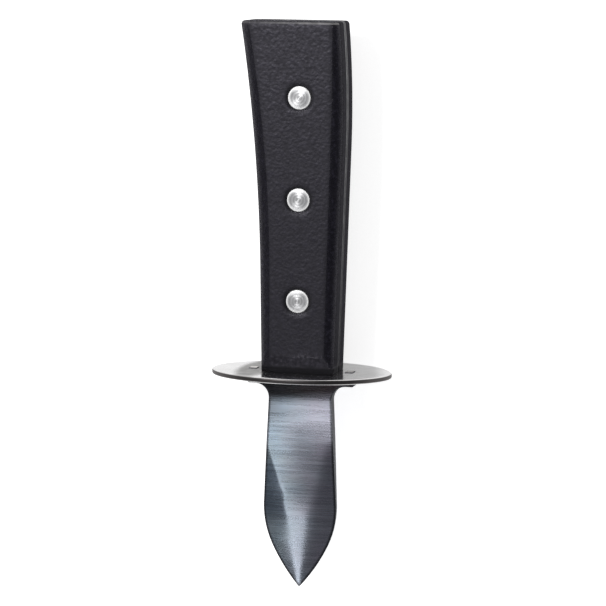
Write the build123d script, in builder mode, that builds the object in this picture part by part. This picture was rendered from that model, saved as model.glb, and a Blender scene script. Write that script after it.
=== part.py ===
from build123d import *
from math import radians, tan
import os

os.makedirs("parts", exist_ok=True)

# An oyster knife with a fixed spear-point blade, an oval guard and a riveted two-piece handle.
# The origin lies on the centre line, where the blade leaves the guard.
# +X runs to the tip, +Y across the blade and +Z out of the front of the handle.

# Blade
blade_length = 60.2        # to the sharp tip, before it is rounded
blade_thickness = 3.0
root_width = 17.7          # the sides, run back to the shoulders
belly_width = 21.3         # where the sides and the edges of the point cross
belly_radius = 25.0
point_length = 18.8
point_bulge = 1.2          # how far each edge of the point bows out of its chord
tip_radius = 0.4
shoulder_width = 30.6
shoulder_depth = 2.5
shoulder_fillet = 4.0
shoulder_corner = 0.5

# Ground bevels of the point
bevel_length = 46.0
bevel_angle = 8.5          # degrees from the flat of the blade
bevel_radius = 200.0       # the bevels are slightly convex
bevel_reach = 16.0         # from the centre line to the far side of the grinding
taper_length = 21.0
tip_thickness = 1.0
station_shares = (0.0, 0.26, 0.48, 0.7, 0.86, 1.03)          # of the bevel's length
land_shares = (1.08, 0.685, 0.42, -0.04, -0.47, -0.94)       # of half the belly's width

# Tang, and the tenons that hold the guard
tang_margin = 8.2          # of tang behind the butt rivet
tang_width = 15.0
tang_end_width = 12.0
tang_end_radius = 3.0
tenon_width = 2.4
tenon_spacing = 27.6
tenon_stand = 0.2          # the peened ends stand proud of the guard
tenon_edge = 0.15

# Guard
guard_width = 51.0
guard_depth = 36.0
guard_thickness = 1.5
guard_rim_radius = 0.5
slot_corner = 0.4

# Handle scales: the flanks, then the front face inside its bevels
handle_length = 97.2
scale_thickness = 7.0
finger_straight_length = 28.5
palm_straight_length = 62.5
finger_root = 10.1         # from the centre line to the finger side, at the guard
finger_straight_end = 10.7
finger_butt = 16.8
palm_root = 10.5           # from the centre line to the palm side, at the guard
palm_straight_end = 12.2
palm_butt = 11.1
face_setback = 4.5         # from the guard to the front face
face_finger_root = 7.5
face_finger_straight_end = 7.7
face_finger_butt = 14.4
face_palm_root = 7.9
face_palm_straight_end = 9.2
face_palm_butt = 9.4
scale_bevel_depth = 1.2
scale_edge_radius = 0.2
butt_corner = 1.0
parting_edge = 0.25        # the broken edge where the two scales meet

# Rivets
middle_rivet_place = 48.2  # from the guard
rivet_line_offset = 0.3    # from the centre line, towards the palm side
rivet_spacing = 28.1
rivet_head_diameter = 6.45
rivet_head_thickness = 1.4
rivet_head_stand = 0.15
rivet_head_edge = 0.2
rivet_crown = 0.1
barrel_diameter = 4.6
bore_diameter = 3.0
bore_floor = 0.6           # metal left under the socket's head
barrel_gap = 0.4           # from the barrel's end to the pin's head

# Fits
tang_clearance = 0.15
tang_end_clearance = 0.5
slot_clearance = 0.1
head_clearance = 0.05
barrel_clearance = 0.1
pin_clearance = 0.03
pin_end_clearance = 0.3
overrun = 1.0

handle_start = -guard_thickness
handle_end = handle_start - handle_length
half_plate = blade_thickness / 2
rivet_middle = handle_start - middle_rivet_place
rivet_places = {
    "butt": (rivet_middle - rivet_spacing, rivet_line_offset),
    "middle": (rivet_middle, rivet_line_offset),
    "guard": (rivet_middle + rivet_spacing, rivet_line_offset),
}
tang_length = tang_margin + rivet_spacing - rivet_middle
barrel_hole_radius = barrel_diameter / 2 + barrel_clearance
head_seat = scale_thickness - rivet_head_thickness


def tang_outline(clearance, end_clearance):
    # The tang's outline, grown by its clearances, from the guard's far face back.
    side = tang_width / 2 + clearance
    end_side = tang_end_width / 2 + clearance
    end = -tang_length - end_clearance
    with BuildSketch() as outline:
        with BuildLine():
            Polyline((0, -side), (end, -end_side), (end, end_side), (0, side), close=True)
        make_face()
        fillet(outline.vertices().group_by(Axis.X)[0], tang_end_radius)
    return outline.sketch


def scale_outline(height, setback, finger_sides, palm_sides):
    # A scale's outline at one height, from its widths at the guard, where the curves start and at the butt.
    start = handle_start - setback
    finger_curve = (handle_start - finger_straight_length, -finger_sides[1])
    palm_curve = (handle_start - palm_straight_length, palm_sides[1])
    with BuildSketch(Plane.XY.offset(height)) as outline:
        with BuildLine():
            finger_line = Line((start, -finger_sides[0]), finger_curve)
            TangentArc(finger_curve, (handle_end, -finger_sides[2]), tangent=finger_line % 1)
            Line((handle_end, -finger_sides[2]), (handle_end, palm_sides[2]))
            palm_line = Line((start, palm_sides[0]), palm_curve)
            TangentArc(palm_curve, (handle_end, palm_sides[2]), tangent=palm_line % 1)
            Line((start, -finger_sides[0]), (start, palm_sides[0]))
        make_face()
        fillet(outline.vertices().group_by(Axis.X)[0], butt_corner)
    return outline.sketch


def bevel_section(station, land):
    # What the grinding takes off one corner of the plate, at one station along the blade.
    low = half_plate - (bevel_reach - land) * tan(radians(bevel_angle))
    top = half_plate + overrun
    with BuildSketch(Plane.YZ.offset(station)) as section:
        with BuildLine():
            RadiusArc((land, half_plate), (bevel_reach, low), bevel_radius)
            Polyline((bevel_reach, low), (bevel_reach, top), (land, top), (land, half_plate))
        make_face()
    return section.sketch


tang_plan = tang_outline(0, 0)
recess_plan = tang_outline(tang_clearance, tang_end_clearance)
bevel_base = scale_thickness - scale_bevel_depth
flank_outline = scale_outline(
    0,
    0,
    (finger_root, finger_straight_end, finger_butt),
    (palm_root, palm_straight_end, palm_butt),
)
face_outline = scale_outline(
    scale_thickness,
    face_setback,
    (face_finger_root, face_finger_straight_end, face_finger_butt),
    (face_palm_root, face_palm_straight_end, face_palm_butt),
)

# The grinding takes the four corners of the plate off, from where the bevels begin to past the tip.
bevel_start = blade_length - bevel_length
sections = [
    bevel_section(bevel_start + station * bevel_length, land * belly_width / 2)
    for station, land in zip(station_shares, land_shares)
]
with BuildPart() as grinding:
    loft(sections)
    mirror(about=Plane.XZ)
    mirror(about=Plane.XY)

# The blade, from one plate: point, shoulders, tenons and tang.
shoulder_outside = (shoulder_depth, shoulder_width / 2)
shoulder_inside = (shoulder_depth, root_width / 2)
belly = (blade_length - point_length, belly_width / 2)
tip = (blade_length, 0)
plan_corners = (
    (shoulder_outside, shoulder_corner),
    (shoulder_inside, shoulder_fillet),
    (belly, belly_radius),
)
taper_start = blade_length - taper_length
with BuildPart() as blade:
    with BuildSketch() as plan:
        with BuildLine():
            Polyline((0, 0), (0, shoulder_width / 2), shoulder_outside, shoulder_inside, belly)
            SagittaArc(belly, tip, point_bulge)
            Line(tip, (0, 0))
        make_face()
        for corner, radius in plan_corners:
            fillet(plan.vertices().sort_by_distance(corner)[0], radius)
        mirror(about=Plane.XZ)
        fillet(plan.vertices().sort_by_distance(tip)[0], tip_radius)
    extrude(amount=half_plate, both=True)
    add(grinding.part, mode=Mode.SUBTRACT)
    with BuildSketch(Plane.XZ):
        with BuildLine():
            Polyline(
                (taper_start, half_plate),
                (blade_length, tip_thickness / 2),
                (blade_length + overrun, tip_thickness / 2),
                (blade_length + overrun, half_plate + overrun),
                (taper_start, half_plate + overrun),
                close=True,
            )
        make_face()
        mirror(about=Plane.XY)
    extrude(amount=belly_width, both=True, mode=Mode.SUBTRACT)
    extrude(tang_plan, amount=half_plate, both=True)
    with BuildSketch(Plane.YZ):
        with Locations((-tenon_spacing / 2, 0), (tenon_spacing / 2, 0)):
            Rectangle(tenon_width, blade_thickness)
    extrude(amount=-guard_thickness - tenon_stand)
    tenon_ends = blade.faces().filter_by(Axis.X).group_by(Axis.X)[1]
    chamfer(tenon_ends.edges(), tenon_edge)
    with BuildSketch(Plane.XY):
        with Locations(*rivet_places.values()):
            Circle(barrel_hole_radius)
    extrude(amount=blade_thickness, both=True, mode=Mode.SUBTRACT)
blade.part.label = "blade"
export_step(blade.part, "parts/blade.step")

# The guard: an oval plate with a rounded rim, pierced for the tang and the two tenons.
with BuildPart() as guard:
    with BuildSketch(Plane.YZ):
        Ellipse(guard_width / 2, guard_depth / 2)
    extrude(amount=-guard_thickness)
    fillet(guard.edges(), guard_rim_radius)
    with BuildSketch(Plane.YZ):
        RectangleRounded(
            tang_width + 2 * slot_clearance,
            blade_thickness + 2 * slot_clearance,
            slot_corner,
        )
        with Locations((-tenon_spacing / 2, 0), (tenon_spacing / 2, 0)):
            Rectangle(tenon_width + 2 * slot_clearance, blade_thickness + 2 * slot_clearance)
    extrude(amount=-guard_thickness, mode=Mode.SUBTRACT)
guard.part.label = "guard"
export_step(guard.part, "parts/guard.step")

# The front scale: bevelled along both sides and at the guard, recessed for half the tang.
with BuildPart() as front_scale:
    extrude(flank_outline, amount=bevel_base)
    loft((flank_outline.moved(Location((0, 0, bevel_base))), face_outline), ruled=True)
    parting_face = front_scale.faces().sort_by(Axis.Z)[0]
    guard_face = front_scale.faces().sort_by(Axis.X)[-1]
    chamfer(parting_face.edges() - guard_face.edges(), parting_edge)
    upper_edges = front_scale.edges().filter_by(lambda edge: edge.center().Z > 2 * parting_edge)
    fillet(upper_edges, scale_edge_radius)
    extrude(recess_plan, amount=half_plate, mode=Mode.SUBTRACT)
    with BuildSketch():
        with Locations(*rivet_places.values()):
            Circle(barrel_hole_radius)
    extrude(amount=scale_thickness, mode=Mode.SUBTRACT)
    with BuildSketch(Plane.XY.offset(head_seat)):
        with Locations(*rivet_places.values()):
            Circle(rivet_head_diameter / 2 + head_clearance)
    extrude(amount=rivet_head_thickness, mode=Mode.SUBTRACT)
front_scale.part.label = "front_scale"
export_step(front_scale.part, "parts/front_scale.step")

# The back scale is the front one's mirror image across the plate.
with BuildPart() as back_scale:
    mirror(front_scale.part, about=Plane.XY)
back_scale.part.label = "back_scale"
export_step(back_scale.part, "parts/back_scale.step")

# The rivets: each socket goes in from the front and takes its pin from the back.
head_radius = rivet_head_diameter / 2
head_top = scale_thickness + rivet_head_stand
head_rim = head_top - rivet_crown
barrel_end = -head_seat + barrel_gap
bore_end = head_seat - bore_floor
pin_radius = bore_diameter / 2 - pin_clearance
pin_end = bore_end - pin_end_clearance
socket_outline = (
    (head_radius, head_rim),
    (head_radius, head_seat),
    (barrel_diameter / 2, head_seat),
    (barrel_diameter / 2, barrel_end),
    (bore_diameter / 2, barrel_end),
    (bore_diameter / 2, bore_end),
    (0, bore_end),
    (0, head_top),
)
pin_outline = (
    (head_radius, -head_rim),
    (head_radius, -head_seat),
    (pin_radius, -head_seat),
    (pin_radius, pin_end),
    (0, pin_end),
    (0, -head_top),
)
for name, place in rivet_places.items():
    rivet_plane = Plane(place, x_dir=(1, 0, 0), z_dir=(0, -1, 0))
    rivet_axis = Axis(place, (0, 0, 1))
    with BuildPart() as socket:
        with BuildSketch(rivet_plane) as profile:
            with BuildLine():
                TangentArc((0, head_top), (head_radius, head_rim), tangent=(1, 0))
                Polyline(socket_outline)
            make_face()
            fillet(profile.vertices().sort_by_distance((head_radius, head_rim))[0], rivet_head_edge)
        revolve(axis=rivet_axis)
    socket.part.label = "rivet_socket_" + name
    export_step(socket.part, "parts/" + socket.part.label + ".step")
    with BuildPart() as pin:
        with BuildSketch(rivet_plane) as profile:
            with BuildLine():
                TangentArc((0, -head_top), (head_radius, -head_rim), tangent=(1, 0))
                Polyline(pin_outline)
            make_face()
            fillet(profile.vertices().sort_by_distance((head_radius, -head_rim))[0], rivet_head_edge)
        revolve(axis=rivet_axis)
    pin.part.label = "rivet_pin_" + name
    export_step(pin.part, "parts/" + pin.part.label + ".step")
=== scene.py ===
import math
import bmesh
import bpy
import numpy
from mathutils import Matrix, Vector
from mathutils.bvhtree import BVHTree


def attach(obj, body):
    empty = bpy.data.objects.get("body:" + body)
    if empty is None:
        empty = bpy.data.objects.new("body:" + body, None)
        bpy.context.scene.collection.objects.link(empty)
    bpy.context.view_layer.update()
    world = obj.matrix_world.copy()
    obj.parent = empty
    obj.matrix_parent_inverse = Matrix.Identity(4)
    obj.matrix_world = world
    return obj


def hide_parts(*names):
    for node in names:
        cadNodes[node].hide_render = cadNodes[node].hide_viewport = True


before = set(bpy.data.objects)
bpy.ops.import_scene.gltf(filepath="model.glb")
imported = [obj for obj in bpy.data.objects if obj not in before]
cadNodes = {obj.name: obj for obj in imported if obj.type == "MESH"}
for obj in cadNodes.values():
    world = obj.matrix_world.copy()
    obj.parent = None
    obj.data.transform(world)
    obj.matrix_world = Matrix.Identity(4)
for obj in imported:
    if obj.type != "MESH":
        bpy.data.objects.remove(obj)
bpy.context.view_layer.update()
mm = 0.001
weldReach = 0.001 * mm  # points that lie closer are joined
columnWidth, rowHeight = 220, 190  # in the node editor
print("knife frame loaded:", len(cadNodes), "nodes")


def addNode(tree, kind, **settings):
    node = tree.nodes.new(kind)
    for name, value in settings.items():
        setattr(node, name, value)
    return node


# nodes in columns, each to the left of what it feeds
def layOut(tree):
    columns = {node.name: 0 for node in tree.nodes}
    for _ in tree.nodes:
        for link in tree.links:
            column = columns[link.to_node.name] + 1
            columns[link.from_node.name] = max(columns[link.from_node.name], column)
    filled = {}
    for node in tree.nodes:
        column = columns[node.name]
        node.location = (-columnWidth * column, -rowHeight * filled.get(column, 0))
        filled[column] = filled.get(column, 0) + 1


def plug(tree, value, socket):
    if isinstance(value, bpy.types.NodeSocket):
        tree.links.new(value, socket)
    elif value is not None:
        socket.default_value = (*value, 1.0)[: len(socket.default_value)] if isinstance(value, tuple) else value


def doMath(tree, operation, *values, clamp=False):
    node = addNode(tree, "ShaderNodeMath", operation=operation, use_clamp=clamp)
    for value, socket in zip(values, node.inputs):
        plug(tree, value, socket)
    return node.outputs[0]


def doVector(tree, operation, *values):
    node = addNode(tree, "ShaderNodeVectorMath", operation=operation)
    for value, socket in zip(values, node.inputs):
        plug(tree, value, socket)
    return node.outputs["Value" if operation in ("LENGTH", "DISTANCE", "DOT_PRODUCT") else "Vector"]


def remap(tree, value, fromLow, fromHigh, toLow, toHigh, smooth=False):
    node = addNode(tree, "ShaderNodeMapRange", interpolation_type="SMOOTHSTEP" if smooth else "LINEAR")
    for label, amount in (
        ("Value", value), ("From Min", fromLow), ("From Max", fromHigh), ("To Min", toLow), ("To Max", toHigh),
    ):
        plug(tree, amount, node.inputs[label])
    return node.outputs["Result"]


def blendColour(tree, share, first, second, blend="MIX"):
    node = addNode(tree, "ShaderNodeMix", data_type="RGBA", blend_type=blend)
    for value, socket in ((share, node.inputs["Factor"]), (first, node.inputs[6]), (second, node.inputs[7])):
        plug(tree, value, socket)
    return node.outputs[2]


def mixValue(tree, share, first, second):
    node = addNode(tree, "ShaderNodeMix")
    for value, socket in ((share, node.inputs[0]), (first, node.inputs[2]), (second, node.inputs[3])):
        plug(tree, value, socket)
    return node.outputs[0]


def multiply(tree, first, *others):
    for value in others:
        first = doMath(tree, "MULTIPLY", first, value)
    return first


def split(tree, vector):
    node = addNode(tree, "ShaderNodeSeparateXYZ")
    plug(tree, vector, node.inputs[0])
    return node.outputs


def combine(tree, x, y, z):
    node = addNode(tree, "ShaderNodeCombineXYZ")
    for value, socket in zip((x, y, z), node.inputs):
        plug(tree, value, socket)
    return node.outputs[0]


def newGroup(name, inputs, outputs):
    group = bpy.data.node_groups.new(name, "ShaderNodeTree")
    for label, kind, value in inputs:
        socket = group.interface.new_socket(label, in_out="INPUT", socket_type="NodeSocket" + kind)
        if value is not None:
            socket.default_value = value
    for label, kind in outputs:
        group.interface.new_socket(label, in_out="OUTPUT", socket_type="NodeSocket" + kind)
    return group, addNode(group, "NodeGroupInput"), addNode(group, "NodeGroupOutput")


def placeGroup(tree, group, values):
    node = addNode(tree, "ShaderNodeGroup", node_tree=group)
    for label, value in values.items():
        plug(tree, value, node.inputs[label])
    return node.outputs


def newMaterial(name, sockets):
    material = bpy.data.materials.new(name)
    material.use_nodes = True
    tree = material.node_tree
    tree.nodes.clear()
    shader = addNode(tree, "ShaderNodeBsdfPrincipled")
    output = addNode(tree, "ShaderNodeOutputMaterial")
    tree.links.new(shader.outputs["BSDF"], output.inputs["Surface"])
    for label, value in sockets.items():
        plug(tree, value, shader.inputs[label])
    return material, tree, shader


def objectPlace(tree):
    return addNode(tree, "ShaderNodeTexCoord").outputs["Object"]


def splitNormal(tree):
    return split(tree, addNode(tree, "ShaderNodeNewGeometry").outputs["Normal"])


def readAttribute(tree, label):
    return addNode(tree, "ShaderNodeAttribute", attribute_name=label).outputs["Fac"]


def addBump(tree, height, strength, distance, normal=None):
    bump = addNode(tree, "ShaderNodeBump")
    for label, value in (("Height", height), ("Strength", strength), ("Distance", distance), ("Normal", normal)):
        plug(tree, value, bump.inputs[label])
    return bump.outputs["Normal"]


effectSizes = {
    "noiseSpread": (0.3, 0.7, 0.0, 1.0),  # most of a noise's values lie in here
    "grainSpread": (0.32, 0.68, 0.0, 1.0),
    "coarseScale": 0.23,  # of the broader streaks
    "lineShares": (0.65, 0.35),  # of the fine and the broader streaks
    "edgeTurn": (0.998, 0.90, 0.0, 1.0),  # how like the flat normal the rounded one is
    "wornSpots": (0.35, 0.6, 0.35, 1.0),
    "pitDepth": -0.5,
}


# lines that a belt or a wheel leaves: fine streaks along Y of the vector it is given, with soft clouds between them
def makeBrushLines(sizes):
    group, start, end = newGroup(
        "brushLines",
        (
            ("Vector", "Vector", None),
            ("Lines per mm", "Float", 5.0),
            ("Line Length mm", "Float", 8.0),
            ("Cloud Size mm", "Float", 6.0),
            ("Seed", "Float", 0.0),
        ),
        (("Lines", "Float"), ("Clouds", "Float")),
    )
    inMm = doVector(group, "SCALE", start.outputs["Vector"])
    inMm.node.inputs["Scale"].default_value = 1 / mm
    lineRate = doMath(group, "DIVIDE", 1.0, start.outputs["Line Length mm"])
    stretch = combine(group, start.outputs["Lines per mm"], lineRate, 0.1)
    streakPlace = doVector(group, "MULTIPLY", inMm, stretch)
    fine = addNode(group, "ShaderNodeTexNoise", noise_dimensions="4D")
    coarse = addNode(group, "ShaderNodeTexNoise", noise_dimensions="4D")
    clouds = addNode(group, "ShaderNodeTexNoise", noise_dimensions="4D")
    for noise, scale, detail in ((fine, 1.0, 3.0), (coarse, sizes["coarseScale"], 2.0), (clouds, 1.0, 2.0)):
        plug(group, start.outputs["Seed"], noise.inputs["W"])
        noise.inputs["Scale"].default_value = scale
        noise.inputs["Detail"].default_value = detail
    for noise in (fine, coarse):
        plug(group, streakPlace, noise.inputs["Vector"])
    cloudRate = doMath(group, "DIVIDE", 1.0, start.outputs["Cloud Size mm"])
    plug(group, inMm, clouds.inputs["Vector"])
    plug(group, cloudRate, clouds.inputs["Scale"])
    fineShare, coarseShare = sizes["lineShares"]
    lines = doMath(group, "MULTIPLY", fine.outputs["Fac"], fineShare)
    lines = doMath(group, "MULTIPLY_ADD", coarse.outputs["Fac"], coarseShare, lines)
    plug(group, remap(group, lines, *sizes["noiseSpread"]), end.inputs["Lines"])
    plug(group, remap(group, clouds.outputs["Fac"], *sizes["noiseSpread"]), end.inputs["Clouds"])
    layOut(group)
    return group


# rubbed edges: where the rounded normal leaves the flat one, broken up by noise
def makeEdgeWear(sizes):
    group, start, end = newGroup(
        "edgeWear",
        (
            ("Vector", "Vector", None),
            ("Edge Width", "Float", 0.3 * mm),
            ("Spot Size mm", "Float", 2.0),
            ("Amount", "Float", 0.6),
        ),
        (("Mask", "Float"), ("Soft Normal", "Vector")),
    )
    rounded = addNode(group, "ShaderNodeBevel", samples=6)
    plug(group, start.outputs["Edge Width"], rounded.inputs["Radius"])
    flat = addNode(group, "ShaderNodeNewGeometry")
    likeness = doVector(group, "DOT_PRODUCT", rounded.outputs[0], flat.outputs["Normal"])
    edge = remap(group, likeness, *sizes["edgeTurn"])
    spots = addNode(group, "ShaderNodeTexNoise")
    rate = doMath(group, "DIVIDE", 1 / mm, start.outputs["Spot Size mm"])
    plug(group, start.outputs["Vector"], spots.inputs["Vector"])
    plug(group, rate, spots.inputs["Scale"])
    spots.inputs["Detail"].default_value = 4.0
    broken = remap(group, spots.outputs["Fac"], *sizes["wornSpots"])
    mask = doMath(group, "MULTIPLY", edge, broken)
    mask = doMath(group, "MULTIPLY", mask, start.outputs["Amount"], clamp=True)
    plug(group, mask, end.inputs["Mask"])
    plug(group, rounded.outputs[0], end.inputs["Soft Normal"])
    layOut(group)
    return group


# fine grain of a spark-eroded mould, or of a dull film on metal
def makeGrain(sizes):
    group, start, end = newGroup(
        "surfaceGrain",
        (("Vector", "Vector", None), ("Grain Size mm", "Float", 0.35), ("Patch Size mm", "Float", 7.0)),
        (("Grain", "Float"), ("Patches", "Float"), ("Height", "Float")),
    )
    rate = doMath(group, "DIVIDE", 1 / mm, start.outputs["Grain Size mm"])
    patchRate = doMath(group, "DIVIDE", 1 / mm, start.outputs["Patch Size mm"])
    fine = addNode(group, "ShaderNodeTexNoise")
    pits = addNode(group, "ShaderNodeTexVoronoi")
    patches = addNode(group, "ShaderNodeTexNoise")
    for texture, scale in ((fine, rate), (pits, rate), (patches, patchRate)):
        plug(group, start.outputs["Vector"], texture.inputs["Vector"])
        plug(group, scale, texture.inputs["Scale"])
    fine.inputs["Detail"].default_value = 3.0
    patches.inputs["Detail"].default_value = 3.0
    grain = fine.outputs["Fac"]
    height = doMath(group, "MULTIPLY_ADD", pits.outputs["Distance"], sizes["pitDepth"], grain)
    plug(group, remap(group, grain, *sizes["grainSpread"]), end.inputs["Grain"])
    plug(group, remap(group, patches.outputs["Fac"], *sizes["noiseSpread"]), end.inputs["Patches"])
    plug(group, height, end.inputs["Height"])
    layOut(group)
    return group


brushLines = makeBrushLines(effectSizes)
edgeWear = makeEdgeWear(effectSizes)
surfaceGrain = makeGrain(effectSizes)
print("shared effects made: brush lines, edge wear, grain")

# each mask in the finishes is: where it starts and ends, and its share at the start and at the end
handleFinish = {
    "deepColour": (0.0028, 0.0024, 0.0044),
    "speckColour": (0.0160, 0.0148, 0.0215),
    "rubbedColour": (0.05, 0.05, 0.052),
    "paintedShadeColour": (0.0015, 0.0015, 0.0018),
    "jointHighlightColour": (0.40, 0.40, 0.405),  # painted highlight along the joint, at the butt
    "jointHighlightAtGuard": (0.09, 0.09, 0.092),  # and at the guard
    "buttEndHighlightColour": (0.50, 0.50, 0.505),  # and across the butt's end
    "jointHighlightStrip": (0.8 * mm, 1.4 * mm, 1.0, 0.0),  # from the joint outwards
    "jointHighlightPatches": (0.0, 1.0, 0.45, 0.9),
    "jointHighlightFade": (-95.0 * mm, -5.0 * mm, 0.0, 1.0),  # from the butt to the guard
    "buttEdgeHighlightColour": (0.24, 0.235, 0.23),
    "buttEdgeHighlightPlace": -98.18 * mm,  # a painted highlight line beside the butt's edge
    "buttEdgeHighlightReach": (0.16 * mm, 0.38 * mm, 1.0, 0.0),
    "buttEdgeHighlightAcross": (-14.0 * mm, 8.0 * mm, 0.20, 1.0),  # from the finger side to the palm side
    "buttEdgeHighlightPatches": (0.2, 0.8, 0.55, 1.0),
    "rivetPlaces": ((-77.8 * mm, 0.3 * mm, 0), (-49.7 * mm, 0.3 * mm, 0), (-21.6 * mm, 0.3 * mm, 0)),
    # painted shade in a ring round each rivet head
    "rivetRingShade": (3.4 * mm, 4.5 * mm, 0.8, 0.0),
    "foot": (-3.9 * mm, -2.6 * mm, 0.0, 0.95),  # painted contact shade beside the guard
    "sideTurn": (0.30, 0.55, 1.0, 0.0),  # how far a surface faces up, on the flanks
    "faceTurn": (0.6, 0.8, 0.0, 1.0),  # and on the front and back
    "buttTurn": (-0.85, -0.6, 1.0, 0.0),  # how far it faces the tip, on the butt's end
    "footTurn": (0.15, 0.30),  # and on the bevel beside the guard
    "bevelTurn": (0.15, 0.35),  # how far it faces sideways, on the side bevels
    "refraction": 1.5,
    "specular": 0.54,
    "shineTint": (0.90, 0.87, 1.0, 1.0),
    "roughness": 0.42,
    "roughnessSpread": 0.10,
    "patchRoughness": 0.09,
    "bevelRoughness": 0.24,
    "endRoughness": 0.62,  # of the bevel beside the guard
    "sideRoughness": 1.0,
    "paintedShadeRoughness": (0.22, 0.90),  # round the rivets, and beside the guard
    "grain": {"Grain Size mm": 0.95, "Patch Size mm": 3.5},
    "grainDepth": 0.10 * mm,
    "grainStrength": 0.7,
    "wear": {"Edge Width": 2.4 * mm, "Spot Size mm": 3.0, "Amount": 0.35},
}


def makeHandlePlastic(sizes):
    material, tree, shader = newMaterial(
        "mouldedHandleBlack",
        {"IOR": sizes["refraction"], "Specular IOR Level": sizes["specular"], "Specular Tint": sizes["shineTint"]},
    )
    spot = objectPlace(tree)
    grain = placeGroup(tree, surfaceGrain, {"Vector": spot, **sizes["grain"]})
    wear = placeGroup(tree, edgeWear, {"Vector": spot, **sizes["wear"]})
    apart = split(tree, spot)
    facing = splitNormal(tree)
    upward = doMath(tree, "ABSOLUTE", facing["Z"])
    side = remap(tree, upward, *sizes["sideTurn"], True)

    # painted highlight: a pale strip along the joint, paler across the butt's end
    height = doMath(tree, "ABSOLUTE", apart["Z"])
    jointHighlight = remap(tree, height, *sizes["jointHighlightStrip"], True)
    jointPatches = remap(tree, grain["Patches"], *sizes["jointHighlightPatches"])
    jointHighlight = multiply(tree, jointHighlight, side, jointPatches)
    toGuard = remap(tree, apart["X"], *sizes["jointHighlightFade"])
    jointHighlightTone = blendColour(tree, toGuard, sizes["jointHighlightColour"], sizes["jointHighlightAtGuard"])
    ended = remap(tree, facing["X"], *sizes["buttTurn"])
    jointHighlightTone = blendColour(tree, ended, jointHighlightTone, sizes["buttEndHighlightColour"])

    # the painted highlight line beside the butt's edge
    fromButtHighlight = doMath(tree, "SUBTRACT", apart["X"], sizes["buttEdgeHighlightPlace"])
    fromButtHighlight = doMath(tree, "ABSOLUTE", fromButtHighlight)
    buttHighlight = remap(tree, fromButtHighlight, *sizes["buttEdgeHighlightReach"], True)
    highlightAcross = remap(tree, apart["Y"], *sizes["buttEdgeHighlightAcross"])
    patchy = remap(tree, grain["Patches"], *sizes["buttEdgeHighlightPatches"])
    onFace = remap(tree, upward, *sizes["faceTurn"])
    buttHighlight = multiply(tree, buttHighlight, highlightAcross, patchy, onFace)

    # painted shade round the rivet heads and beside the guard
    flat = doVector(tree, "MULTIPLY", spot, (1.0, 1.0, 0.0))
    nearest = None
    for place in sizes["rivetPlaces"]:
        away = doVector(tree, "DISTANCE", flat, place)
        nearest = away if nearest is None else doMath(tree, "MINIMUM", nearest, away)
    paintedShade = remap(tree, nearest, *sizes["rivetRingShade"], True)
    foot = remap(tree, apart["X"], *sizes["foot"], True)
    paintedShade = doMath(tree, "MAXIMUM", paintedShade, foot)

    speck = doMath(tree, "POWER", grain["Grain"], 2.0)
    tone = blendColour(tree, speck, sizes["deepColour"], sizes["speckColour"])
    tone = blendColour(tree, wear["Mask"], tone, sizes["rubbedColour"])
    tone = blendColour(tree, jointHighlight, tone, jointHighlightTone)
    tone = blendColour(tree, buttHighlight, tone, sizes["buttEdgeHighlightColour"])
    tone = blendColour(tree, paintedShade, tone, sizes["paintedShadeColour"])
    plug(tree, tone, shader.inputs["Base Color"])

    # satin faces, shinier side bevels, dull flanks and a dull foot
    satin, spread = sizes["roughness"], sizes["roughnessSpread"]
    gloss = remap(tree, grain["Grain"], 0.0, 1.0, satin + spread, satin - spread)
    gloss = doMath(tree, "MULTIPLY_ADD", grain["Patches"], sizes["patchRoughness"], gloss)
    leaning = doMath(tree, "ABSOLUTE", facing["Y"])
    bevelled = remap(tree, leaning, *sizes["bevelTurn"], 0.0, satin - sizes["bevelRoughness"], True)
    gloss = doMath(tree, "SUBTRACT", gloss, bevelled)
    dulled = remap(tree, facing["X"], *sizes["footTurn"], 0.0, sizes["endRoughness"] - satin, True)
    gloss = doMath(tree, "ADD", gloss, dulled)
    gloss = mixValue(tree, side, gloss, sizes["sideRoughness"])
    shadedGloss = remap(tree, foot, *sizes["foot"][2:], *sizes["paintedShadeRoughness"])
    plug(tree, mixValue(tree, paintedShade, gloss, shadedGloss), shader.inputs["Roughness"])
    unshaded = doMath(tree, "SUBTRACT", 1.0, paintedShade)
    relief = multiply(tree, grain["Height"], unshaded)
    bump = addBump(tree, relief, sizes["grainStrength"], sizes["grainDepth"], normal=wear["Soft Normal"])
    plug(tree, bump, shader.inputs["Normal"])
    layOut(tree)
    return material


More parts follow.
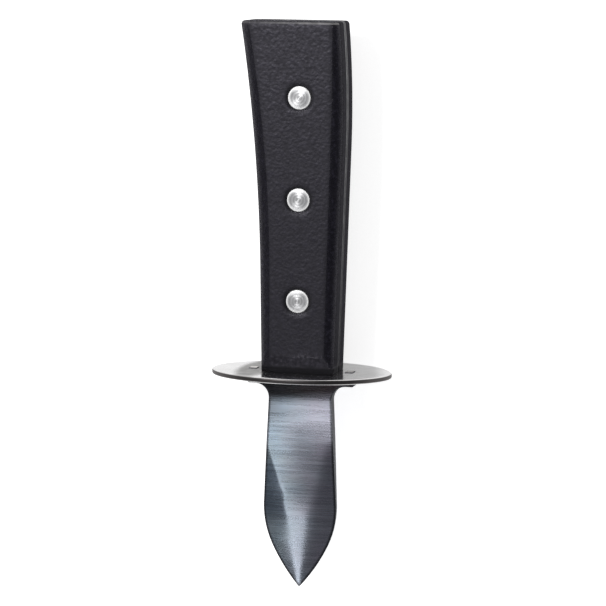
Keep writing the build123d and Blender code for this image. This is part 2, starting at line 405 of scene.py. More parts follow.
bladeFinish = {
    "tealSteel": (0.47, 0.58, 0.70),
    "greySteel": (0.59, 0.61, 0.70),
    "greenSteel": (0.51, 0.60, 0.65),
    "plumSteel": (0.58, 0.56, 0.67),
    "reflectionTintAcross": (-7.0 * mm, 7.0 * mm, -0.2, 0.8),  # painted reflection tint, from the finger side to the palm side
    "tintShare": 0.5,  # of the clouds in it
    "tintLines": {"Lines per mm": 0.5, "Line Length mm": 9.0, "Cloud Size mm": 9.0, "Seed": 12.0},
    "beltLines": {"Lines per mm": 2.6, "Line Length mm": 16.0, "Cloud Size mm": 7.0, "Seed": 3.0},
    "lineContrast": (0.90, 1.10),
    "lineDepth": 0.006 * mm,
    "lineStrength": 0.045,
    # painted shade on the blanked side walls
    "sideWallShadeColour": (0.045, 0.048, 0.058),
    "outlineShadeColour": (0.115, 0.118, 0.132),
    "outlineShadeLine": (0.28 * mm, 0.85 * mm, 0.9, 0.0),  # a painted dark line just inside the outline, for the rounded edge's dark reflection
    "bevelShadePlace": 32.5 * mm,  # painted shade: a darker patch on the finger side's bevel
    "bevelShadeReach": (5.5 * mm, 11.0 * mm, 1.0, 0.0),
    "bevelShadeTint": (0.52, 0.54, 0.58),
    "bevelTurn": (-0.12, -0.06, 1.0, 0.0),  # how far that bevel faces sideways
    "guardShadeStrip": (4.2 * mm, 8.2 * mm, 0.0, 1.0),  # painted shade beside the guard, where the guard shades the blade
    "guardShadeSlant": 0.10,
    "guardShadeTint": (0.17, 0.14, 0.13),
    "tenonColour": (0.60, 0.575, 0.55),
    "tenonReach": (-0.6 * mm, -0.4 * mm, 1.0, 0.0),
    "roughness": (0.23, 0.32),
    "edgeRoughness": 0.2,  # more
    "anisotropy": 0.7,
}


def makeBladeSteel(sizes):
    material, tree, shader = newMaterial("brushedBladeSteel", {"Metallic": 1.0, "Anisotropic": sizes["anisotropy"]})
    spot = objectPlace(tree)
    brush = placeGroup(tree, brushLines, {"Vector": spot, **sizes["beltLines"]})
    tint = placeGroup(tree, brushLines, {"Vector": spot, **sizes["tintLines"]})
    apart = split(tree, spot)
    facing = splitNormal(tree)
    # painted reflection tint: bluer on the finger side, greyer on the palm side
    across = remap(tree, apart["Y"], *sizes["reflectionTintAcross"])
    across = doMath(tree, "MULTIPLY_ADD", tint["Clouds"], sizes["tintShare"], across, clamp=True)
    tone = blendColour(tree, across, sizes["tealSteel"], sizes["greySteel"])
    mottle = blendColour(tree, across, sizes["greenSteel"], sizes["plumSteel"])
    tone = blendColour(tree, brush["Clouds"], tone, mottle)
    dim = remap(tree, brush["Lines"], 0.0, 1.0, *sizes["lineContrast"])
    tone = blendColour(tree, 1.0, tone, dim, "MULTIPLY")
    # painted shade of the guard across the blade's root, slanting across it
    slanted = doMath(tree, "MULTIPLY_ADD", apart["Y"], sizes["guardShadeSlant"], apart["X"])
    guardShade = remap(tree, slanted, *sizes["guardShadeStrip"], True)
    guardShadeTone = blendColour(tree, guardShade, sizes["guardShadeTint"], (1.0, 1.0, 1.0))
    tone = blendColour(tree, 1.0, tone, guardShadeTone, "MULTIPLY")
    tenons = remap(tree, apart["X"], *sizes["tenonReach"])
    tone = blendColour(tree, tenons, tone, sizes["tenonColour"])
    onBevel = remap(tree, facing["Y"], *sizes["bevelTurn"], True)
    # painted shade on the finger side's bevel
    along = doMath(tree, "SUBTRACT", apart["X"], sizes["bevelShadePlace"])
    along = doMath(tree, "ABSOLUTE", along)
    bevelShade = remap(tree, along, *sizes["bevelShadeReach"], True)
    bevelShade = multiply(tree, bevelShade, onBevel)
    stain = blendColour(tree, bevelShade, (1.0, 1.0, 1.0), sizes["bevelShadeTint"])
    tone = blendColour(tree, 1.0, tone, stain, "MULTIPLY")
    # painted shade along the outline
    outlineShade = remap(tree, readAttribute(tree, "fromOutline"), *sizes["outlineShadeLine"], True)
    tone = blendColour(tree, outlineShade, tone, sizes["outlineShadeColour"])
    # painted shade: the blanked side walls are coloured near black
    blanked = readAttribute(tree, "blankedEdge")
    tone = blendColour(tree, blanked, tone, sizes["sideWallShadeColour"])
    plug(tree, tone, shader.inputs["Base Color"])
    gloss = remap(tree, brush["Lines"], 0.0, 1.0, *sizes["roughness"])
    gloss = doMath(tree, "MULTIPLY_ADD", blanked, sizes["edgeRoughness"], gloss)
    plug(tree, gloss, shader.inputs["Roughness"])
    bump = addBump(tree, brush["Lines"], sizes["lineStrength"], sizes["lineDepth"])
    plug(tree, bump, shader.inputs["Normal"])
    grindPlace = addNode(tree, "ShaderNodeTangent", direction_type="UV_MAP", uv_map="brushing")
    plug(tree, grindPlace.outputs[0], shader.inputs["Tangent"])
    layOut(tree)
    return material


guardFinish = {
    "steelColour": (0.86, 0.86, 0.86),
    "dullColour": (0.72, 0.71, 0.71),
    "rimReflectionColour": (0.095, 0.088, 0.088),
    "rimTurn": (0.45, 0.75, 1.0, 0.0),  # the rim, painted dark for its dark reflection, begins where the face has turned this far
    "stainColour": (0.30, 0.29, 0.28),
    "stainGrain": (0.3, 0.9, 0.15, 0.7),
    "tenonPlace": (0.0, 13.8 * mm, 0.0),  # where the tenons were staked
    "tenonMark": (1.2 * mm, 4.0 * mm, 1.0, 0.0),
    "handleReflectionPlace": (0.0, -12.5 * mm, 0.0),  # where the painted reflection of the handle falls
    "handleReflectionMark": (6.2 * mm, 3.2),  # across, and how many times longer along Z
    "handleReflectionFade": (0.6, 1.05, 1.0, 0.0),
    "handleReflectionPatches": (0.0, 1.0, 0.75, 1.0),
    "handleSide": (-0.8, -0.5, 1.0, 0.0),  # how far that face looks towards the handle
    "handleReflectionColour": (0.16, 0.155, 0.15),
    "handleReflectionRoughness": 0.22,  # more
    "grain": {"Grain Size mm": 1.1, "Patch Size mm": 3.5},
    "polishLines": {"Lines per mm": 4.0, "Line Length mm": 14.0, "Cloud Size mm": 5.0, "Seed": 8.0},
    "lineDepth": 0.006 * mm,
    "lineStrength": 0.4,
    "roughness": (0.12, 0.24),
    "rimRoughness": 0.25,  # more
}


def makeGuardSteel(sizes):
    material, tree, shader = newMaterial("polishedGuardSteel", {"Metallic": 1.0})
    spot = objectPlace(tree)
    turned = addNode(tree, "ShaderNodeMapping")
    turned.inputs["Rotation"].default_value = (0, math.radians(90), 0)
    plug(tree, spot, turned.inputs["Vector"])
    brush = placeGroup(tree, brushLines, {"Vector": turned.outputs[0], **sizes["polishLines"]})
    grain = placeGroup(tree, surfaceGrain, {"Vector": spot, **sizes["grain"]})
    apart = split(tree, spot)
    facing = splitNormal(tree)
    flat = doMath(tree, "ABSOLUTE", facing["X"])
    rim = remap(tree, flat, *sizes["rimTurn"], True)

    # the marks round the staked tenons
    across = doMath(tree, "ABSOLUTE", apart["Y"])
    mirrored = combine(tree, None, across, apart["Z"])
    fromTenon = doVector(tree, "DISTANCE", mirrored, sizes["tenonPlace"])
    near = remap(tree, fromTenon, *sizes["tenonMark"], True)
    stain = remap(tree, grain["Grain"], *sizes["stainGrain"])
    stain = multiply(tree, stain, near)

    # and the painted dark reflection of the handle, on the face that looks towards it
    across, stretch = sizes["handleReflectionMark"]
    fromHandleReflection = doVector(tree, "SUBTRACT", spot, sizes["handleReflectionPlace"])
    fromHandleReflection = doVector(tree, "MULTIPLY", fromHandleReflection, (0.0, 1 / across, 1 / (across * stretch)))
    fromHandleReflection = doVector(tree, "LENGTH", fromHandleReflection)
    dulled = remap(tree, fromHandleReflection, *sizes["handleReflectionFade"], True)
    facesHandle = remap(tree, facing["X"], *sizes["handleSide"])
    reflectionPatches = remap(tree, grain["Patches"], *sizes["handleReflectionPatches"])
    dulled = multiply(tree, dulled, facesHandle, reflectionPatches)

    tone = blendColour(tree, brush["Clouds"], sizes["dullColour"], sizes["steelColour"])
    tone = blendColour(tree, stain, tone, sizes["stainColour"])
    # painted dark reflection of the handle
    tone = blendColour(tree, dulled, tone, sizes["handleReflectionColour"])
    # painted dark reflection on the rim
    tone = blendColour(tree, rim, tone, sizes["rimReflectionColour"])
    plug(tree, tone, shader.inputs["Base Color"])
    gloss = remap(tree, brush["Lines"], 0.0, 1.0, *sizes["roughness"])
    gloss = doMath(tree, "MULTIPLY_ADD", rim, sizes["rimRoughness"], gloss)
    gloss = doMath(tree, "MULTIPLY_ADD", dulled, sizes["handleReflectionRoughness"], gloss)
    plug(tree, gloss, shader.inputs["Roughness"])
    bump = addBump(tree, brush["Lines"], sizes["lineStrength"], sizes["lineDepth"])
    plug(tree, bump, shader.inputs["Normal"])
    layOut(tree)
    return material


rivetFinish = {
    "steelColour": (0.86, 0.86, 0.87),
    "grooveColour": (0.62, 0.62, 0.63),
    "rimReflectionColour": (0.94, 0.94, 0.94),
    "rimPlace": (2.60 * mm, 2.90 * mm, 0.0, 1.0),
    "rimRoughness": 0.15,  # more
    "roughness": (0.30, 0.40),
    "anisotropy": 0.6,
    "sheen": (0.70, 0.40),  # how metallic the face is, and the rim with its painted highlight
    "grain": {"Grain Size mm": 0.5, "Patch Size mm": 2.0},
    "groovePitch": 0.82 * mm,
    "grooveWander": 1.5,
    "grooveDepth": 0.02 * mm,
    "grooveStrength": 0.35,
}


def makeRivetSteel(sizes):
    material, tree, shader = newMaterial("turnedRivetSteel", {"Anisotropic": sizes["anisotropy"]})
    spot = objectPlace(tree)
    radius = readAttribute(tree, "turnedRadius")
    grain = placeGroup(tree, surfaceGrain, {"Vector": spot, **sizes["grain"]})
    phase = doMath(tree, "DIVIDE", radius, sizes["groovePitch"] / (2 * math.pi))
    phase = doMath(tree, "MULTIPLY_ADD", grain["Patches"], sizes["grooveWander"], phase)
    wave = doMath(tree, "SINE", phase)
    grooves = remap(tree, wave, -1.0, 1.0, 0.0, 1.0)
    rim = remap(tree, radius, *sizes["rimPlace"], True)
    tone = blendColour(tree, grooves, sizes["grooveColour"], sizes["steelColour"])
    # painted highlight: a pale, less metallic ring on the rim
    tone = blendColour(tree, rim, tone, sizes["rimReflectionColour"])
    plug(tree, tone, shader.inputs["Base Color"])
    plug(tree, remap(tree, rim, 0.0, 1.0, *sizes["sheen"]), shader.inputs["Metallic"])
    gloss = remap(tree, grain["Patches"], 0.0, 1.0, *sizes["roughness"])
    gloss = doMath(tree, "MULTIPLY_ADD", rim, sizes["rimRoughness"], gloss)
    plug(tree, gloss, shader.inputs["Roughness"])
    bump = addBump(tree, grooves, sizes["grooveStrength"], sizes["grooveDepth"])
    plug(tree, bump, shader.inputs["Normal"])
    turning = addNode(tree, "ShaderNodeTangent", direction_type="UV_MAP", uv_map="turning")
    plug(tree, turning.outputs[0], shader.inputs["Tangent"])
    layOut(tree)
    return material


handlePlastic = makeHandlePlastic(handleFinish)
bladeSteel = makeBladeSteel(bladeFinish)
guardSteel = makeGuardSteel(guardFinish)
rivetSteel = makeRivetSteel(rivetFinish)
print("materials made: handle plastic, blade steel, guard steel, rivet steel")


def showPiece(name, mesh, materials, slotName, *nodeNames):
    piece = bpy.data.objects.new(name, mesh)
    bpy.context.scene.collection.objects.link(piece)
    mesh.materials.clear()
    for material in materials:
        mesh.materials.append(material)
    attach(piece, "root")
    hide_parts(*nodeNames)
    return piece


for name in ("front_scale", "back_scale"):
    for slot in cadNodes[name].material_slots:
        slot.material = handlePlastic
for slot in cadNodes["guard"].material_slots:
    slot.material = guardSteel
print("handle scales and guard finished")

bladeSizes = {
    "cellSize": 0.6 * mm,  # of the grid that carries the soft grinding
    "samplePitch": 0.25 * mm,  # of the grid on which the ground faces are read
    "rayStart": 5.0 * mm,  # how high above the plate's middle they are read from
    "start": 0.5 * mm,
    "end": 60.0 * mm,
    "halfWidth": 11.0 * mm,
    "sideMargin": 0.5 * mm,
    "outlineStep": 0.1 * mm,  # between the points that the outline is measured from
    "tenonStart": -1.0 * mm,
    "rootEnd": 2.0 * mm,  # the soft grinding begins here
    "flatLimit": 0.9,  # a face that is turned further than this is an edge
    "endLimit": 0.7,
    "creaseLimit": 0.85,
    "crispRidge": 0.6 * mm,  # how far the finger side's ridge is rubbed round
    "softRidge": 2.6 * mm,  # and the palm side's
    "pointRidge": 1.5 * mm,
    "pointBlend": (33.0 * mm, 43.0 * mm),  # from the crisp ridge to the point's
    "pointRound": (45.0 * mm, 56.0 * mm),  # and from the soft one
    "leastBlend": 0.5 * mm,  # along the blade
    "taperBlend": 4.5 * mm,  # more, over the start of the taper
    "taperFade": (46.0 * mm, 56.0 * mm),
    "wanderStart": (1.0 * mm, 4.0 * mm),  # from the centre line
    "turnStart": (0.05, 0.13),
    # how the hand-ground face leans at stations along the blade: place, lean at the centre line, and how much more
    # it leans for each mm towards the finger side and the palm side
    "leans": (
        (8.0 * mm, -0.062, 0.0050, 0.0050),
        (11.5 * mm, -0.055, 0.0050, 0.0030),
        (15.4 * mm, 0.040, 0.0063, -0.0040),
        (21.0 * mm, 0.065, 0.0105, 0.0030),
        (26.7 * mm, 0.063, 0.0080, 0.0090),
        (32.3 * mm, 0.076, 0.0100, 0.0080),
        (38.0 * mm, 0.022, 0.0100, 0.0100),
        (41.0 * mm, -0.006, 0.0090, 0.0090),
        (47.0 * mm, 0.000, 0.0080, 0.0080),
        (52.0 * mm, 0.000, 0.0070, 0.0070),
        (60.0 * mm, -0.005, 0.0060, 0.0060),
    ),
    # how far the finger side's ridge wanders towards the middle, and how much steeper its bevel leans there
    "wanders": (
        (17.0 * mm, -0.60 * mm, 0.00),
        (21.0 * mm, -0.60 * mm, 0.00),
        (24.0 * mm, -0.10 * mm, 0.00),
        (26.7 * mm, 0.40 * mm, 0.00),
        (30.3 * mm, 0.70 * mm, 0.00),
        (33.4 * mm, 1.35 * mm, 0.00),
        (37.7 * mm, -0.10 * mm, 0.00),
        (41.9 * mm, -0.20 * mm, -0.03),
        (47.0 * mm, 0.60 * mm, -0.05),
        (52.0 * mm, 0.40 * mm, -0.02),
        (57.0 * mm, 0.00 * mm, 0.02),
    ),
    "mapSize": 20.0 * mm,
}


def smoothStep(value, low, high):
    share = min(max((value - low) / (high - low), 0.0), 1.0)
    return share * share * (3 - 2 * share)


# the blade as built, its loose triangles joined and cut on a grid, with normals that follow the hand-ground face:
# crisp along the finger side's ridge, rubbed round along the palm side's and towards the point
def makeBlade(sizes):
    mesh = cadNodes["blade"].data.copy()
    mesh.name = "groundBlade"
    shape = bmesh.new()
    shape.from_mesh(mesh)
    bmesh.ops.remove_doubles(shape, verts=shape.verts, dist=weldReach)
    tree = BVHTree.FromBMesh(shape)
    pitch, start, halfWidth = sizes["samplePitch"], sizes["start"], sizes["halfWidth"]
    rows = round((sizes["end"] - start) / pitch) + 1
    columns = round(2 * halfWidth / pitch) + 1
    slopes = numpy.zeros((rows, columns, 3))
    for row in range(rows):
        for column in range(columns):
            above = Vector((start + row * pitch, column * pitch - halfWidth, sizes["rayStart"]))
            hit, normal, _, _ = tree.ray_cast(above, Vector((0, 0, -1)))
            if hit is not None and normal.z > sizes["flatLimit"]:
                slopes[row, column] = normal

    def liesFlat(face):
        return abs(face.normal.z) > sizes["flatLimit"]

    def groundNormal(x, y):
        places, shifts, turns = zip(*sizes["wanders"])
        shift = numpy.interp(x, places, shifts) if y < 0 else 0.0
        shift *= smoothStep(-y, *sizes["wanderStart"])
        nearPoint = smoothStep(x, *sizes["pointBlend"])
        fingerRidge = sizes["crispRidge"] + nearPoint * (sizes["pointRidge"] - sizes["crispRidge"])
        ridge = sizes["softRidge"] if y > 0 else fingerRidge
        ridge += (sizes["pointRidge"] - ridge) * smoothStep(x, *sizes["pointRound"])
        along = sizes["leastBlend"] + sizes["taperBlend"] * nearPoint * (1 - smoothStep(x, *sizes["taperFade"]))
        middleRow = (x - start) / pitch
        middleColumn = (max(y - shift, -halfWidth + 2 * sizes["sideMargin"]) + halfWidth) / pitch
        rowReach, columnReach = along / pitch, ridge / pitch
        lowRow, highRow = max(0, math.ceil(middleRow - rowReach)), min(rows, math.floor(middleRow + rowReach) + 1)
        lowColumn = max(0, math.ceil(middleColumn - columnReach))
        highColumn = min(columns, math.floor(middleColumn + columnReach) + 1)
        if highRow <= lowRow or highColumn <= lowColumn:
            return None
        rowShare = 1 - abs(numpy.arange(lowRow, highRow) - middleRow) / (rowReach + 1)
        columnShare = 1 - abs(numpy.arange(lowColumn, highColumn) - middleColumn) / (columnReach + 1)
        block = slopes[lowRow:highRow, lowColumn:highColumn]
        total = (block * rowShare[:, None, None] * columnShare[None, :, None]).sum(axis=(0, 1))
        if total[2] <= 0:
            return None
        ground = Vector(total).normalized()
        ground.y -= smoothStep(-ground.y, *sizes["turnStart"]) * numpy.interp(x, places, turns)
        places, leans, fingerCrowns, palmCrowns = zip(*sizes["leans"])
        crown = numpy.interp(x, places, palmCrowns if y > 0 else fingerCrowns)
        ground.y += numpy.interp(x, places, leans) + y / mm * crown
        return ground.normalized()

    def cutAcross(axis, low, high):
        way = Vector((1, 0, 0)) if axis == 0 else Vector((0, 1, 0))
        for step in range(round((high - low) / sizes["cellSize"]) + 1):
            faces = [face for face in shape.faces if liesFlat(face) and face.calc_center_bounds().x > 0]
            parts = set(faces)
            for face in faces:
                parts.update(face.edges)
                parts.update(face.verts)
            cut = way * (low + step * sizes["cellSize"])
            bmesh.ops.bisect_plane(shape, geom=list(parts), plane_co=cut, plane_no=way, dist=10 * weldReach)

    cutAcross(0, start, sizes["end"] - sizes["cellSize"])
    cutAcross(1, -halfWidth + sizes["sideMargin"], halfWidth - sizes["sideMargin"])
    shape.normal_update()
    outline = []
    for edge in shape.edges:
        flats = [liesFlat(face) for face in edge.link_faces]
        if any(flats) and not all(flats):
            first, last = (vert.co.xy for vert in edge.verts)
            steps = max(1, round((last - first).length / sizes["outlineStep"]))
            outline += [first.lerp(last, step / steps) for step in range(steps + 1)]
    outline = numpy.array(outline)
    brushing = shape.loops.layers.uv.new("brushing")
    blanked = shape.loops.layers.float.new("blankedEdge")
    inside = shape.loops.layers.float.new("fromOutline")
    depths = {}
    for vert in shape.verts:
        depths[vert] = math.sqrt(((outline - numpy.array(vert.co.xy)) ** 2).sum(axis=1).min())
    normals = []
    known = {}
    for face in shape.faces:
        face.smooth = True
        upward = liesFlat(face)
        endOn = abs(face.normal.x) > sizes["endLimit"]
        for corner in face.loops:
            place = corner.vert.co
            down = place.y if upward or endOn else place.z
            along = place.z if endOn else place.x
            tenonEnd = place.x < sizes["tenonStart"] and face.normal.x < -sizes["flatLimit"]
            corner[brushing].uv = (along / sizes["mapSize"], down / sizes["mapSize"])
            corner[blanked] = 0.0 if upward or tenonEnd else 1.0
            corner[inside] = depths[corner.vert] if upward else 1.0
            ground = None
            if upward and place.x > sizes["rootEnd"]:
                key = (round(place.x * 1e6), round(place.y * 1e6))  # in micrometres, and shared by front and back
                if key not in known:
                    known[key] = groundNormal(place.x, place.y)
                ground = known[key]
                if ground is not None and face.normal.z < 0:
                    ground = Vector((ground.x, ground.y, -ground.z))
            if ground is None:
                ground = Vector((0, 0, 0))
                for other in corner.vert.link_faces:
                    if other.normal.dot(face.normal) > sizes["creaseLimit"]:
                        ground += other.normal * other.calc_area()
                ground = ground.normalized() if ground.length > 0 else face.normal.copy()
            normals.append(ground)
    shape.to_mesh(mesh)
    shape.free()
    mesh.normals_split_custom_set(normals)
    return mesh


showPiece("groundBlade", makeBlade(bladeSizes), [bladeSteel], "blade_steel", "blade")
print("blade finished")

rivetSizes = {
    "Head Radius": 3.225 * mm,
    "Head Top": 7.15 * mm,
    "Crown": 0.1 * mm,
    "Rolled Rim": 0.6 * mm,
    "Rim Drop": 0.07 * mm,
    "Edge": 0.2 * mm,
    "Seat": 5.6 * mm,
    "Body Radius": 2.3 * mm,
    "Body End": -5.2 * mm,
    "Bore Radius": 1.5 * mm,
    "Bore Floor": 5.0 * mm,
    "First Rivet": (-21.6 * mm, 0.3 * mm, 0.0),
    "Spacing": 28.1 * mm,
    "Count": 3,
    "Sides": 96,
    "Facing": 1.0,
    "First Swirl": 0.25,  # how the facing tool's grooves spiral, rivet by rivet
    "Swirl Step": 0.5,
    "Seed": 4,
}
pinSizes = dict(rivetSizes)
pinSizes.update({
    "Facing": -1.0,
    "Body Radius": 1.47 * mm,
    "Body End": -4.7 * mm,
    "Bore Radius": 0.0,
    "Bore Floor": -4.7 * mm,
    "Seed": 9,
})
topRings = 14  # from the head's middle to its edge
edgeSteps = 5  # round that edge
creaseAngle = math.radians(35)
swirlCentre = 0.02 * mm
turningMap = 10.0 * mm


# one rivet from its profile, turned about its axis, then a row of them along the handle
def makeRivetTree():
    tree = bpy.data.node_groups.new("rivetRow", "GeometryNodeTree")
    for label, value in rivetSizes.items():
        kind = "Vector" if isinstance(value, tuple) else "Int" if isinstance(value, int) else "Float"
        tree.interface.new_socket(label, in_out="INPUT", socket_type="NodeSocket" + kind).default_value = value
    tree.interface.new_socket("Finish", in_out="INPUT", socket_type="NodeSocketMaterial")
    tree.interface.new_socket("Rivets", in_out="OUTPUT", socket_type="NodeSocketGeometry")
    start = addNode(tree, "NodeGroupInput").outputs
    end = addNode(tree, "NodeGroupOutput")

    def compute(operation, *values):
        return doMath(tree, operation, *values)

    count = addNode(tree, "GeometryNodeInputIndex").outputs[0]
    ring = compute("DIVIDE", count, float(topRings))
    ring = compute("MINIMUM", ring, 1.0)
    topRadius = compute("MULTIPLY", ring, start["Head Radius"])
    crown = compute("POWER", ring, 2.0)
    crown = compute("MULTIPLY", crown, start["Crown"])
    rolledFrom = compute("SUBTRACT", start["Head Radius"], start["Rolled Rim"])
    rolled = remap(tree, topRadius, rolledFrom, start["Head Radius"], 0.0, 1.0, True)
    drop = compute("MULTIPLY_ADD", rolled, start["Rim Drop"], crown)
    topHeight = compute("SUBTRACT", start["Head Top"], drop)
    corners = (
        (start["Head Radius"], start["Seat"]), (start["Body Radius"], start["Seat"]),
        (start["Body Radius"], start["Body End"]), (start["Bore Radius"], start["Body End"]),
        (start["Bore Radius"], start["Bore Floor"]), (0.0, start["Bore Floor"]),
    )
    chooser = addNode(tree, "GeometryNodeIndexSwitch", data_type="VECTOR")
    while len(chooser.index_switch_items) < len(corners) + 1:
        chooser.index_switch_items.new()
    for row, (radius, height) in enumerate(((topRadius, topHeight), *corners)):
        plug(tree, combine(tree, radius, None, height), chooser.inputs[str(row)])
    beyond = compute("SUBTRACT", count, float(topRings))
    plug(tree, compute("MAXIMUM", beyond, 0.0), chooser.inputs["Index"])

    chain = addNode(tree, "GeometryNodeMeshLine")
    chain.inputs["Count"].default_value = topRings + 1 + len(corners)
    outline = addNode(tree, "GeometryNodeSetPosition")
    plug(tree, chain.outputs[0], outline.inputs["Geometry"])
    plug(tree, chooser.outputs[0], outline.inputs["Position"])
    curve = addNode(tree, "GeometryNodeMeshToCurve")
    plug(tree, outline.outputs[0], curve.inputs[0])
    rounded = addNode(tree, "GeometryNodeFilletCurve", mode="POLY")
    plug(tree, curve.outputs[0], rounded.inputs["Curve"])
    plug(tree, edgeSteps, rounded.inputs["Count"])
    atEdge = compute("COMPARE", count, float(topRings), 0.5)
    plug(tree, compute("MULTIPLY", atEdge, start["Edge"]), rounded.inputs["Radius"])

    size = addNode(tree, "GeometryNodeAttributeDomainSize", component="CURVE")
    plug(tree, rounded.outputs[0], size.inputs[0])
    around = compute("ADD", start["Sides"], 1.0)
    grid = addNode(tree, "GeometryNodeMeshGrid")
    plug(tree, size.outputs["Point Count"], grid.inputs["Vertices X"])
    plug(tree, around, grid.inputs["Vertices Y"])
    profileRow = compute("FLOOR", compute("DIVIDE", count, around))
    turn = compute("SUBTRACT", count, compute("MULTIPLY", profileRow, around))
    turn = compute("DIVIDE", turn, start["Sides"])
    onProfile = addNode(tree, "GeometryNodeSampleIndex", data_type="FLOAT_VECTOR", domain="POINT")
    plug(tree, rounded.outputs[0], onProfile.inputs["Geometry"])
    plug(tree, addNode(tree, "GeometryNodeInputPosition").outputs[0], onProfile.inputs["Value"])
    plug(tree, profileRow, onProfile.inputs["Index"])
    apart = split(tree, onProfile.outputs[0])
    angle = compute("MULTIPLY", turn, 2 * math.pi)
    forward = compute("MULTIPLY", apart["X"], compute("COSINE", angle))
    sideways = compute("MULTIPLY", apart["X"], compute("SINE", angle))
    outwards = compute("MULTIPLY", apart["Z"], start["Facing"])
    spun = combine(tree, forward, sideways, outwards)

    def store(geometry, label, domain, kind, value):
        node = addNode(tree, "GeometryNodeStoreNamedAttribute", domain=domain, data_type=kind)
        plug(tree, geometry, node.inputs["Geometry"])
        node.inputs["Name"].default_value = label
        plug(tree, value, node.inputs["Value"])
        return node.outputs[0]

    solid = store(grid.outputs["Mesh"], "turnedRadius", "POINT", "FLOAT", apart["X"])
    solid = store(solid, "turnedAngle", "CORNER", "FLOAT", turn)
    placed = addNode(tree, "GeometryNodeSetPosition")
    plug(tree, solid, placed.inputs["Geometry"])
    plug(tree, spun, placed.inputs["Position"])
    joined = addNode(tree, "GeometryNodeMergeByDistance")
    plug(tree, placed.outputs[0], joined.inputs["Geometry"])
    joined.inputs["Distance"].default_value = weldReach
    flipped = addNode(tree, "GeometryNodeFlipFaces")
    plug(tree, joined.outputs[0], flipped.inputs["Mesh"])
    plug(tree, compute("GREATER_THAN", start["Facing"], 0.0), flipped.inputs["Selection"])
    crisp = addNode(tree, "GeometryNodeSetShadeSmooth", domain="EDGE")
    plug(tree, flipped.outputs[0], crisp.inputs[0])
    bend = addNode(tree, "GeometryNodeInputMeshEdgeAngle").outputs["Unsigned Angle"]
    plug(tree, compute("GREATER_THAN", bend, creaseAngle), crisp.inputs["Selection"])
    crisp.inputs["Shade Smooth"].default_value = False

    row = addNode(tree, "GeometryNodeMeshLine")
    plug(tree, start["Count"], row.inputs["Count"])
    plug(tree, start["First Rivet"], row.inputs["Start Location"])
    towardsButt = compute("MULTIPLY", start["Spacing"], -1.0)
    plug(tree, combine(tree, towardsButt, None, None), row.inputs["Offset"])
    spin = addNode(tree, "FunctionNodeRandomValue", data_type="FLOAT_VECTOR")
    spin.inputs[0].default_value, spin.inputs[1].default_value = (0, 0, 0), (0, 0, 2 * math.pi)
    plug(tree, start["Seed"], spin.inputs["Seed"])
    put = addNode(tree, "GeometryNodeInstanceOnPoints")
    plug(tree, row.outputs[0], put.inputs["Points"])
    plug(tree, crisp.outputs[0], put.inputs["Instance"])
    plug(tree, spin.outputs[0], put.inputs["Rotation"])
    swirl = compute("MULTIPLY_ADD", count, start["Swirl Step"], start["First Swirl"])
    marked = store(put.outputs[0], "grooveSwirl", "INSTANCE", "FLOAT", swirl)
    real = addNode(tree, "GeometryNodeRealizeInstances")
    plug(tree, marked, real.inputs["Geometry"])

    def read(label):
        node = addNode(tree, "GeometryNodeInputNamedAttribute", data_type="FLOAT")
        node.inputs["Name"].default_value = label
        return node.outputs["Attribute"]

    radius = compute("MAXIMUM", read("turnedRadius"), swirlCentre)
    spiral = compute("DIVIDE", radius, start["Head Radius"])
    spiral = compute("LOGARITHM", spiral, math.e)
    spiral = compute("MULTIPLY", spiral, read("grooveSwirl"))
    across = compute("MULTIPLY_ADD", spiral, -0.5 / math.pi, read("turnedAngle"))
    along = compute("DIVIDE", radius, turningMap)
    onMap = combine(tree, along, across, None)
    mapped = store(real.outputs[0], "turning", "CORNER", "FLOAT2", onMap)
    coloured = addNode(tree, "GeometryNodeSetMaterial")
    plug(tree, mapped, coloured.inputs["Geometry"])
    plug(tree, start["Finish"], coloured.inputs["Material"])
    plug(tree, coloured.outputs[0], end.inputs[0])
    layOut(tree)
    return tree


def makeRivets(name, tree, sizes, finish):
    carrier = bpy.data.objects.new(name, bpy.data.meshes.new(name))
    bpy.context.scene.collection.objects.link(carrier)
    modifier = carrier.modifiers.new("rivetRow", "NODES")
    modifier.node_group = tree
    for socket in tree.interface.items_tree:
        if socket.in_out == "INPUT":
            modifier[socket.identifier] = finish if socket.name == "Finish" else sizes[socket.name]
    view = bpy.context.evaluated_depsgraph_get()
    mesh = bpy.data.meshes.new_from_object(carrier.evaluated_get(view))
    carrier.modifiers.remove(modifier)
    bpy.data.objects.remove(carrier)
    mesh.name = name
    return mesh


rivetTree = makeRivetTree()
ends = ("guard", "middle", "butt")
sockets = makeRivets("rivetSockets", rivetTree, rivetSizes, rivetSteel)
showPiece("rivetSockets", sockets, [rivetSteel], "rivet_steel", *("rivet_socket_" + end for end in ends))
pins = makeRivets("rivetPins", rivetTree, pinSizes, rivetSteel)
showPiece("rivetPins", pins, [rivetSteel], "rivet_steel", *("rivet_pin_" + end for end in ends))
print("rivets made:", len(sockets.polygons), "and", len(pins.polygons), "faces")

viewSizes = {
    "yaw": 0.249,
    "pitch": 0.1273,
    "roll": 0.0103,
    "distance": 838.0 * mm,
    "focalPixels": 3000.0,
    "imagePixels": 606.0,
    "knifePixel": (301.64, 375.15),
    "sensorWidth": 36.0,
    "clip": (0.05, 20.0),
}


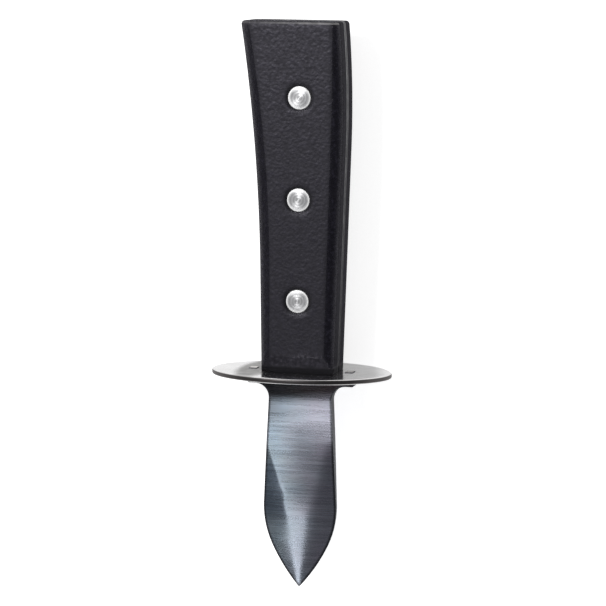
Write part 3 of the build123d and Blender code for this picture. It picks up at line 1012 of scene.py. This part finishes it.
def placeCamera(sizes):
    flat = Matrix(((0, 1, 0), (-1, 0, 0), (0, 0, 1)))  # the photograph's right, up and towards, in the knife's frame
    yaw, pitch, roll = sizes["yaw"], sizes["pitch"], sizes["roll"]
    turn = (
        Matrix.Rotation(-roll, 3, "Z") @ Matrix.Rotation(pitch, 3, "X") @ Matrix.Rotation(-yaw, 3, "Y") @ flat
    )
    middle = sizes["imagePixels"] / 2
    perPixel = sizes["distance"] / sizes["focalPixels"]
    knifeRight = (sizes["knifePixel"][0] - middle) * perPixel
    knifeUp = -(sizes["knifePixel"][1] - middle) * perPixel
    data = bpy.data.cameras.new("photographCamera")
    data.sensor_width = sizes["sensorWidth"]
    data.lens = sizes["focalPixels"] * sizes["sensorWidth"] / sizes["imagePixels"]
    data.clip_start, data.clip_end = sizes["clip"]
    camera = bpy.data.objects.new("photographCamera", data)
    bpy.context.scene.collection.objects.link(camera)
    outward = turn.transposed()
    camera.matrix_world = Matrix.Translation(
        outward @ -Vector((knifeRight, knifeUp, -sizes["distance"]))
    ) @ outward.to_4x4()
    bpy.context.scene.camera = camera


placeCamera(viewSizes)

studio = {
    "floorHeight": -18.0 * mm,
    "floorSize": 5.0,
    "floorColour": (0.80, 0.80, 0.80),
    "floorGlow": 0.70,  # as the camera sees it
    "mirroredGlow": 0.28,  # as metal sees it
    "skyLight": 0.5,
    "white": (1.0, 1.0, 1.0),
    "ceiling": (0.05, 0.052, 0.058),  # as metal sees it
    "skyFade": (0.02, 0.60, 0.0, 1.0),  # from the white horizon to the ceiling
    "aim": (-15.0 * mm, 0.0, 0.0),
}


def makeFloor(sizes):
    half = sizes["floorSize"] / 2
    mesh = bpy.data.meshes.new("paleFloor")
    height = sizes["floorHeight"]
    corners = [(-half, -half, height), (half, -half, height), (half, half, height), (-half, half, height)]
    mesh.from_pydata(corners, [], [(0, 1, 2, 3)])
    material = bpy.data.materials.new("paleFloor")
    material.use_nodes = True
    tree = material.node_tree
    tree.nodes.clear()
    paint = addNode(tree, "ShaderNodeBsdfDiffuse")
    paint.inputs["Color"].default_value = (*sizes["floorColour"], 1.0)
    glow = addNode(tree, "ShaderNodeEmission")
    seen = addNode(tree, "ShaderNodeLightPath").outputs
    mirrored = doMath(tree, "MAXIMUM", seen["Is Glossy Ray"], seen["Is Transmission Ray"])
    mirrored = doMath(tree, "MULTIPLY", mirrored, sizes["mirroredGlow"])
    direct = doMath(tree, "MULTIPLY", seen["Is Camera Ray"], sizes["floorGlow"])
    plug(tree, doMath(tree, "MAXIMUM", direct, mirrored), glow.inputs["Strength"])
    both = addNode(tree, "ShaderNodeAddShader")
    tree.links.new(paint.outputs[0], both.inputs[0])
    tree.links.new(glow.outputs[0], both.inputs[1])
    output = addNode(tree, "ShaderNodeOutputMaterial")
    tree.links.new(both.outputs[0], output.inputs["Surface"])
    layOut(tree)
    floor = bpy.data.objects.new("paleFloor", mesh)
    mesh.materials.append(material)
    bpy.context.scene.collection.objects.link(floor)


def makeSky(sizes):
    world = bpy.data.worlds.new("studioSky")
    bpy.context.scene.world = world
    world.use_nodes = True
    tree = world.node_tree
    tree.nodes.clear()
    way = addNode(tree, "ShaderNodeTexCoord").outputs["Generated"]
    height = remap(tree, split(tree, way)["Z"], *sizes["skyFade"], True)
    mirrored = blendColour(tree, height, sizes["white"], sizes["ceiling"])
    seen = addNode(tree, "ShaderNodeLightPath").outputs
    glossy = doMath(tree, "MAXIMUM", seen["Is Glossy Ray"], seen["Is Transmission Ray"])
    level = sizes["skyLight"]
    tone = blendColour(tree, glossy, (level, level, level), mirrored)
    tone = blendColour(tree, seen["Is Camera Ray"], tone, sizes["white"])
    glow = addNode(tree, "ShaderNodeBackground")
    plug(tree, tone, glow.inputs["Color"])
    output = addNode(tree, "ShaderNodeOutputWorld")
    tree.links.new(glow.outputs[0], output.inputs["Surface"])
    layOut(tree)


softboxes = {
    # name: angle towards the tip, angle towards the palm side, distance, length along the knife, width, brightness
    "buttSoftbox": (-23.5, -18.0, 0.95, 0.16, 0.16, 57.0),
    "tipSoftbox": (28.0, -20.0, 0.95, 0.12, 0.24, 3.2),
    "pointSoftbox": (30.0, -40.0, 0.95, 0.12, 0.20, 0.15),
}


def hangSoftbox(name, tipAngle, palmAngle, distance, length, width, brightness):
    data = bpy.data.lights.new(name, "AREA")
    data.shape = "RECTANGLE"
    data.size, data.size_y = length, width
    data.energy = brightness * math.pi * length * width
    lamp = bpy.data.objects.new(name, data)
    bpy.context.scene.collection.objects.link(lamp)
    towards = Vector((math.tan(math.radians(tipAngle)), math.tan(math.radians(palmAngle)), 1.0)).normalized()
    along = Vector((1, 0, 0)) - towards * towards.x
    along.normalize()
    across = towards.cross(along)
    turn = Matrix((along, across, towards)).transposed()
    lamp.matrix_world = Matrix.Translation(Vector(studio["aim"]) + towards * distance) @ turn.to_4x4()


makeFloor(studio)
makeSky(studio)
for name, values in softboxes.items():
    hangSoftbox(name, *values)
bpy.context.scene.view_settings.view_transform = "Standard"
print("floor, sky and softboxes placed")

print("oyster knife finished")
